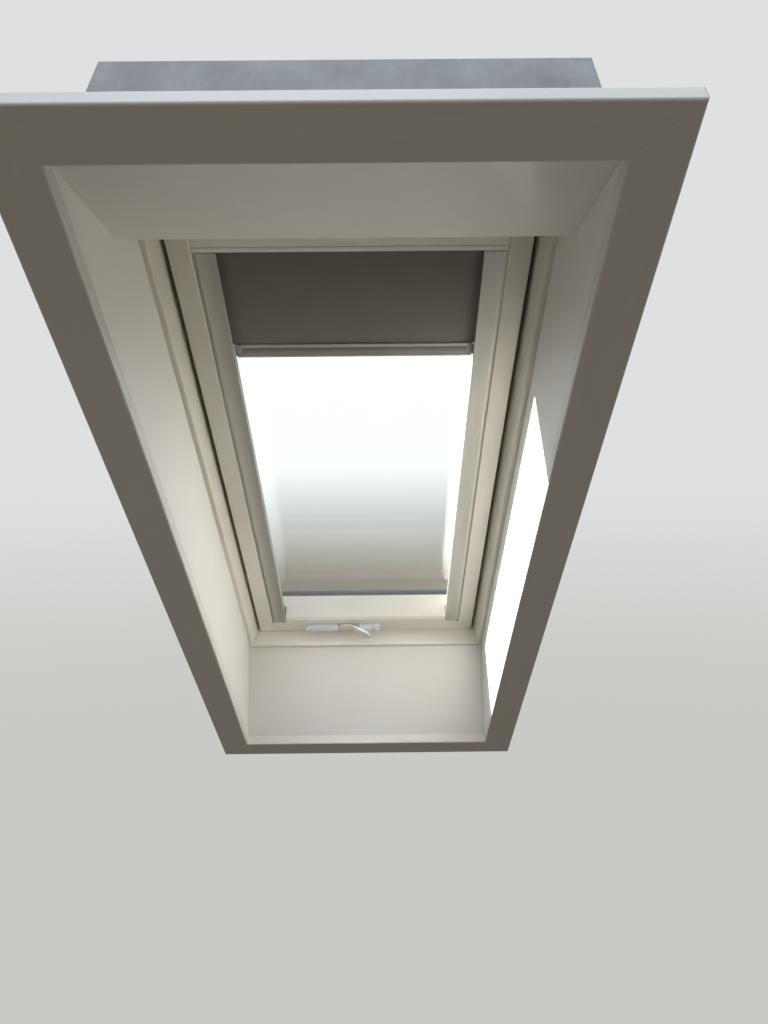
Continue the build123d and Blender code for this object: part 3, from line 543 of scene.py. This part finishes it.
def blind_cloth_piece():
    """Flat cloth. Out of its plane it has two small heights that fall to 0 next to the rails: wrinkles, a sum of
    sines across, which die out up from the bar as e to the minus distance over wrinkle_reach, and a billow, one
    sine across times half a sine wave down.

    Its attribute drop runs from 0 at the roll to 1 at the bar."""
    across = np.linspace(-fabric_half_width, fabric_half_width, cloth_columns)
    along = np.linspace(fabric_top, fabric_bottom, cloth_rows)
    x, y = np.meshgrid(across, along)
    above_bar = (fabric_bottom - y) / wrinkle_reach
    inside = np.clip((rail_inner_face - flat_margin - np.abs(x)) / margin_fade, 0, 1)
    wrinkle = sum(share * np.sin(2 * pi * (x + slant * y) / length + phase)
                  for share, length, slant, phase in wrinkle_waves)
    down = (y - fabric_top) / (fabric_bottom - fabric_top)
    billow = billow_height * np.sin(2 * pi * x / billow_length + billow_phase) * np.sin(pi * down)
    z = fabric_plane + inside * (wrinkle_height * wrinkle * np.exp(-above_bar) + billow)
    piece = add_object("blind_cloth", grid_mesh("blind_cloth", to_row(np.stack([x, y, z], axis=-1))), cloth)
    drop = piece.data.attributes.new("drop", "FLOAT", "POINT")
    drop.data.foreach_set("value", down.ravel())
    wall = piece.modifiers.new("thickness", "SOLIDIFY")
    wall.thickness = fabric_thickness
    wall.offset = 0.0
    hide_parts("blind_fabric")
    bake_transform(piece)
    return piece


def place_camera():
    """Camera at the fitted place: forward is the outward normal tilted towards the eaves.

    The fit's second and third axes point up the slope and into the room, so to_roof turns both round."""
    tilt = np.array([[1, 0, 0], [0, cos(camera_tilt), -sin(camera_tilt)], [0, -sin(camera_tilt), -cos(camera_tilt)]])
    right, up, forward = tilt
    right, forward = (cos(camera_yaw) * right + sin(camera_yaw) * forward,
                      cos(camera_yaw) * forward - sin(camera_yaw) * right)
    right, up = (cos(camera_roll) * right + sin(camera_roll) * up,
                 cos(camera_roll) * up - sin(camera_roll) * right)
    to_roof = np.array([[1, 0, 0], [0, -1, 0], [0, 0, -1]])
    turn = np.stack([to_row(to_roof @ v) for v in (right, up, -forward)], axis=1)
    data = bpy.data.cameras.new("camera")
    data.lens = focal_pixels * data.sensor_width / photo_height
    camera = bpy.data.objects.new("camera", data)
    camera.matrix_world = Matrix.Translation(camera_place) @ Matrix(turn.tolist()).to_4x4()
    bpy.context.scene.collection.objects.link(camera)
    bpy.context.scene.camera = camera


def backdrop_material():
    """Pale stage colour: floor tone below, cooler above; behind glass and in reflections, ground and sky."""
    material = bpy.data.materials.new("pale_backdrop")
    material.use_nodes = True
    tree = material.node_tree
    principled = tree.nodes["Principled BSDF"]
    principled.inputs["Base Color"].default_value = (0, 0, 0, 1)
    principled.inputs["Roughness"].default_value = 1.0
    principled.inputs["Specular IOR Level"].default_value = 0.0
    principled.inputs["Emission Strength"].default_value = 1.0
    place = add_node(tree, "ShaderNodeTexCoord")
    parts = add_node(tree, "ShaderNodeSeparateXYZ")
    tree.links.new(place.outputs["Object"], parts.inputs["Vector"])
    height = add_node(tree, "ShaderNodeMapRange", interpolation_type="SMOOTHSTEP")
    tree.links.new(parts.outputs["Z"], height.inputs["Value"])
    height.inputs["From Min"].default_value = floor_level
    height.inputs["From Max"].default_value = floor_level + backdrop_rise
    direct = mix_colour(tree, height.outputs["Result"], (*floor_tone, 1), (*backdrop_tone, 1))
    horizon = ranged(tree, parts.outputs["Z"], *horizon_band)
    behind_glass = mix_colour(tree, horizon, (*ground_tone, 1), (*sky_tone, 1))
    mirrored = mix_colour(tree, horizon, (*room_light, 1), (*backdrop_tone, 1))
    path = add_node(tree, "ShaderNodeLightPath")
    plain = mix_colour(tree, path.outputs["Is Glossy Ray"], direct, mirrored)
    tree.links.new(mix_colour(tree, path.outputs["Is Transmission Ray"], plain, behind_glass),
                   principled.inputs["Emission Color"])
    return material


def pale_floor():
    """Round stage: a disc that bends up into a wall by a quarter circle, turned about the upright axis."""
    bend = np.linspace(0, pi / 2, stage_bend_steps)
    radius = np.concatenate([[stage_centre], wall_place - floor_bend + floor_bend * np.sin(bend), [wall_place]])
    z = floor_level + np.concatenate([[0], floor_bend * (1 - np.cos(bend)), [backdrop_height]])
    around = np.linspace(0, 2 * pi, stage_steps_around, endpoint=False)
    points = np.stack([np.outer(radius, np.cos(around)), np.outer(radius, np.sin(around)),
                       np.repeat(z[:, None], len(around), axis=1)], axis=-1)
    floor = add_object("pale_floor", grid_mesh("pale_floor", points, closed=True), backdrop_material())
    floor.visible_diffuse = False
    floor.visible_shadow = False


def soft_light():
    """Surround: dim from the room, brighter from outside; the camera sees the backdrop's tone."""
    world = bpy.data.worlds.new("soft_surround")
    bpy.context.scene.world = world
    world.use_nodes = True
    tree = world.node_tree
    background = tree.nodes["Background"]
    place = add_node(tree, "ShaderNodeTexCoord")
    facing = add_node(tree, "ShaderNodeVectorMath", operation="DOT_PRODUCT")
    facing.inputs[1].default_value = to_row([0, 0, 1])
    tree.links.new(place.outputs["Generated"], facing.inputs[0])
    outside = ranged(tree, facing.outputs["Value"], *roof_facing)
    path = add_node(tree, "ShaderNodeLightPath")
    sky = mix_colour(tree, path.outputs["Is Glossy Ray"], (*outside_light, 1), (*outside_shine, 1))
    light = mix_colour(tree, outside, (*room_light, 1), sky)
    seen = mix_colour(tree, path.outputs["Is Camera Ray"], light, (*backdrop_tone, 1))
    tree.links.new(seen, background.inputs["Color"])


def add_light(name, kind, turn, place, **values):
    """Light at a place in roof axes; it shines against the third column of the turn."""
    data = bpy.data.lights.new(name, kind)
    for key, value in values.items():
        setattr(data, key, value)
    light = bpy.data.objects.new(name, data)
    light.matrix_world = Matrix.Translation(to_row(place)) @ turn.to_4x4()
    bpy.context.scene.collection.objects.link(light)
    return light


def lit_by(light, label, names, state):
    """Light linking: the light reaches only these CAD nodes (INCLUDE) or all but these (EXCLUDE)."""
    group = bpy.data.collections.new(label)
    for name in names:
        group.objects.link(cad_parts[name])
    light.light_linking.receiver_collection = group
    for member in group.collection_objects:
        member.light_linking.link_state = state


def aimed_panel(name, place, target, size, power, colour):
    """Rectangular light at one place in roof axes, aimed at another, unseen by the camera."""
    away = Vector((to_row(place) - to_row(target)).tolist())
    light = add_light(name, "AREA", away.to_track_quat("Z", "Y").to_matrix(), place, shape="RECTANGLE",
                      size=size[0], size_y=size[1], energy=power, color=colour)
    light.visible_camera = False
    return light


def daylight():
    """Soft light in through the glass, a bright zenith, a low sun from the left and the small room lights."""
    roof = Matrix(upright.tolist())
    half_width, top, bottom = glass_opening
    width, length = 2 * half_width, bottom - top
    panel = add_light("daylight_panel", "AREA", roof, (0, (top + bottom) / 2, glass_outside),
                      shape="RECTANGLE", size=width, size_y=length, energy=sky_glow * pi * width * length,
                      color=sky_colour)
    panel.visible_camera = False
    panel.visible_transmission = False
    turn = (-Vector(to_row(sun_beam).tolist())).to_track_quat("Z", "Y").to_matrix()
    add_light("soft_key", "SUN", turn, sun_place, energy=key_strength, angle=radians(key_spread))
    zenith = add_light("zenith_sky", "SUN", Matrix.Identity(3), sun_place, energy=zenith_light,
                       angle=radians(zenith_spread), color=zenith_colour)
    sun = add_light("low_sun", "SUN", turn, sun_place, energy=sun_strength, angle=radians(sun_spread),
                    color=sun_colour)
    lit_by(sun, "sunlit_inside", sunlit_inside, "INCLUDE")
    lit_by(panel, "panel_shaded", sky_shaded, "EXCLUDE")
    lit_by(zenith, "zenith_shaded", sky_shaded, "EXCLUDE")
    for name, label, lit, place, target, size, power, colour in room_lights:
        lit_by(aimed_panel(name, place, target, size, power, colour), label, lit, "INCLUDE")


place_camera()
pale_floor()
soft_light()
daylight()
blind_cloth_piece()
bpy.context.scene.view_settings.view_transform = "Standard"
